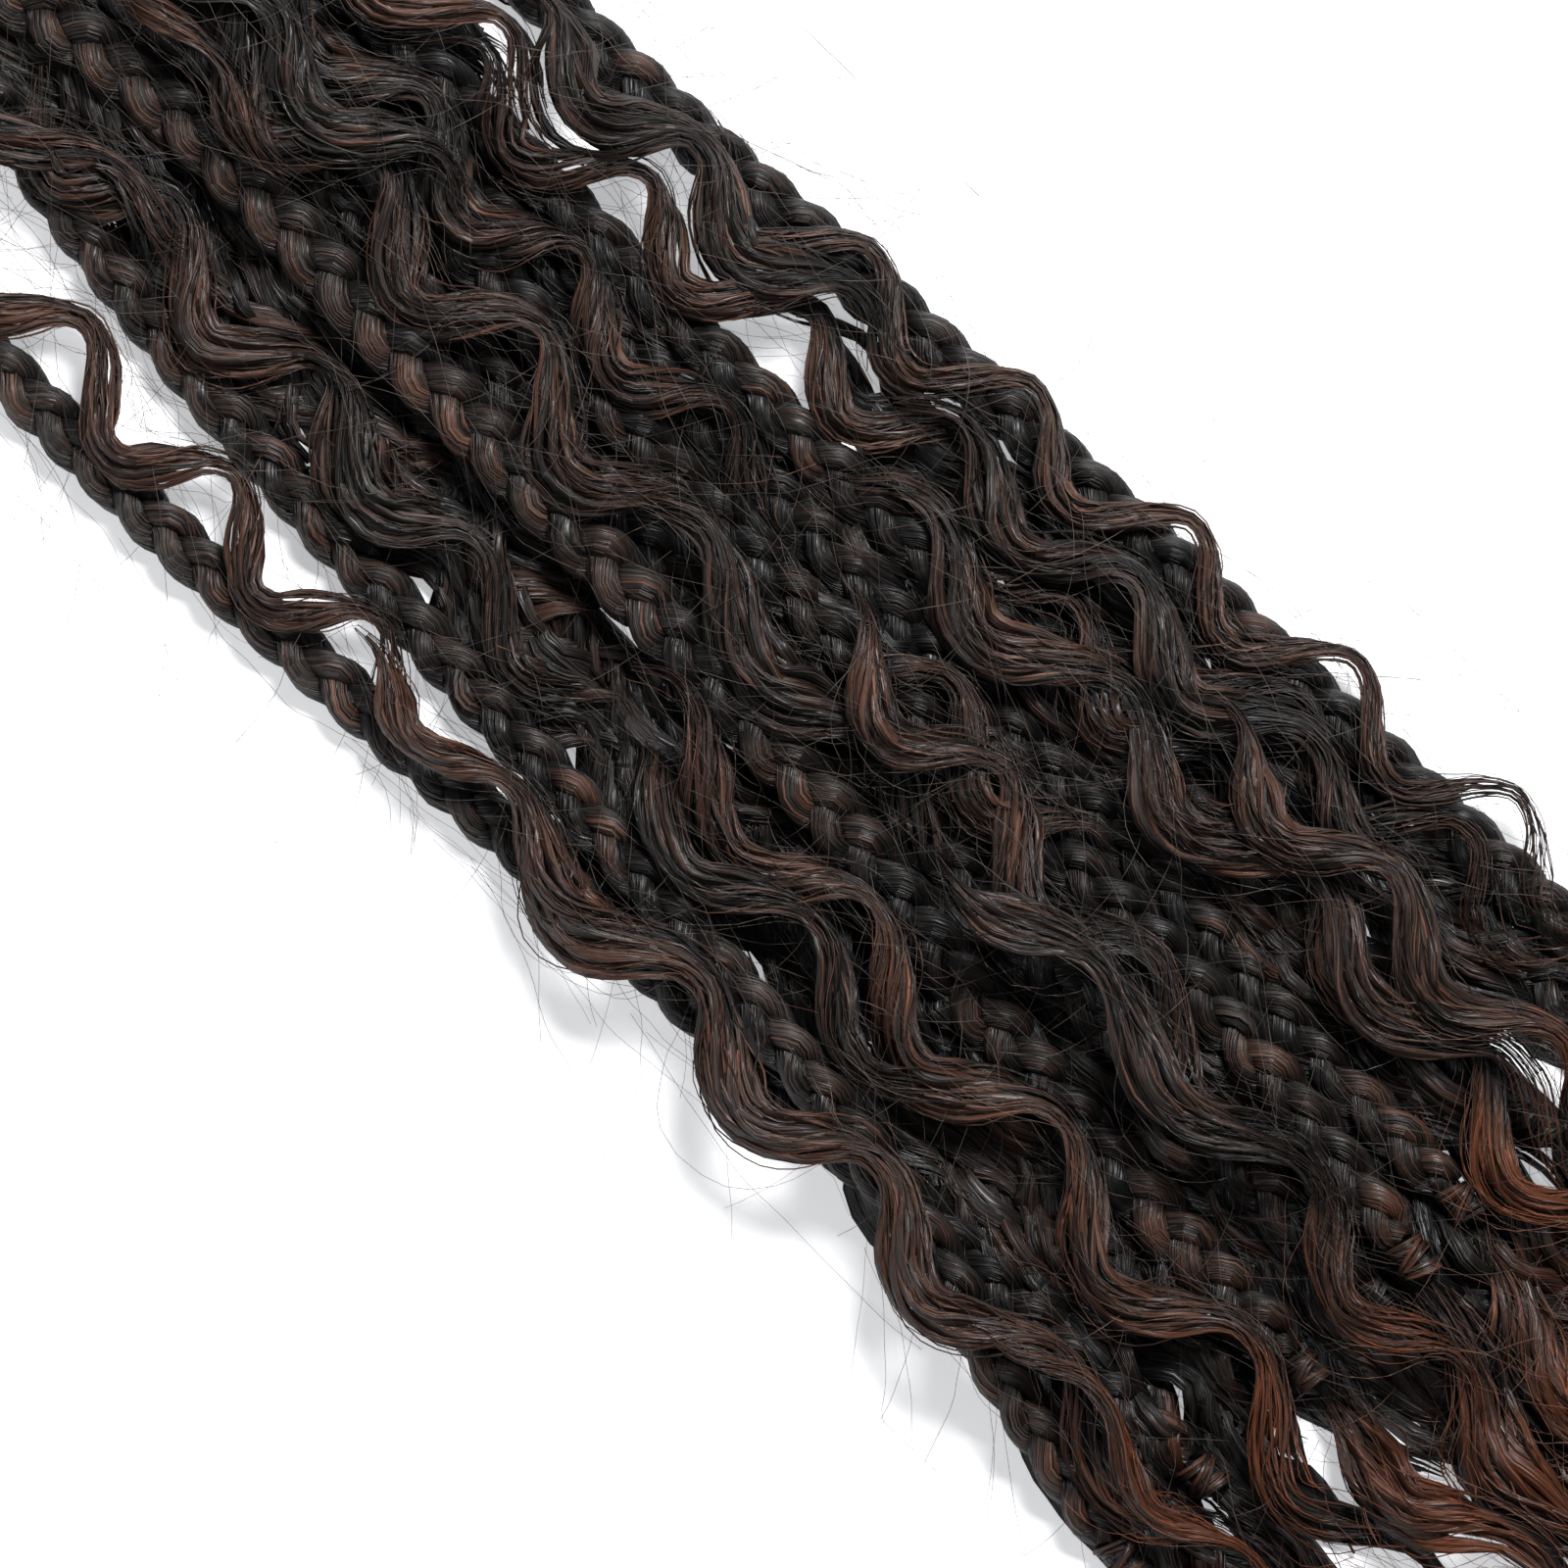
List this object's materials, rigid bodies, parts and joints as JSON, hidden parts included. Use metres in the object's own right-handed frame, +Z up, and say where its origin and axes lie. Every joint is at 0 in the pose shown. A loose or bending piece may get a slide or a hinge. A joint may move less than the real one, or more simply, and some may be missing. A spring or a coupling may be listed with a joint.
{
  "type": "goddess box braid crochet hair",
  "caption": "Pack of three-strand crochet box braids with loose wavy curls, end knots and copper tails, held by one elastic band, lying flat.",
  "frame": {"origin": "middle of the tie band's flat underside, on the surface that the pack lies on", "axes": "+X along the braids from the band to the tips, +Y across the pack, +Z up"},
  "size_m": [0.458, 0.1332, 0.0172],
  "materials": {
    "dark_hair": "satin synthetic fibre, near black with brown streaks",
    "brown_hair": "satin synthetic fibre, dark brown with auburn streaks",
    "copper_hair": "satin synthetic fibre, dark brown turning copper",
    "elastic": "ribbed black elastic"
  },
  "bodies": {
    "root": {"loop_01": "dark_hair", "braid_01": "dark_hair", "knot_01": "dark_hair", "tail_01": "copper_hair", "loop_02": "dark_hair", "braid_02": "dark_hair", "knot_02": "dark_hair", "tail_02": "copper_hair", "loop_03": "dark_hair", "braid_03": "dark_hair", "knot_03": "dark_hair", "tail_03": "copper_hair", "loop_04": "dark_hair", "braid_04": "dark_hair", "knot_04": "dark_hair", "tail_04": "copper_hair", "loop_05": "dark_hair", "braid_05": "dark_hair", "knot_05": "dark_hair", "tail_05": "copper_hair", "loop_06": "dark_hair", "braid_06": "dark_hair", "knot_06": "dark_hair", "tail_06": "copper_hair", "loop_07": "dark_hair", "braid_07": "dark_hair", "knot_07": "dark_hair", "tail_07": "copper_hair", "loop_08": "dark_hair", "braid_08": "dark_hair", "knot_08": "dark_hair", "tail_08": "copper_hair", "curl_01": "brown_hair", "curl_02": "brown_hair", "curl_03": "brown_hair", "curl_04": "brown_hair", "curl_05": "brown_hair", "curl_06": "brown_hair", "curl_07": "brown_hair", "curl_08": "brown_hair", "curl_09": "brown_hair", "curl_10": "brown_hair", "curl_11": "brown_hair", "curl_12": "brown_hair", "tie_band": "elastic"}
  },
  "joints": []
}
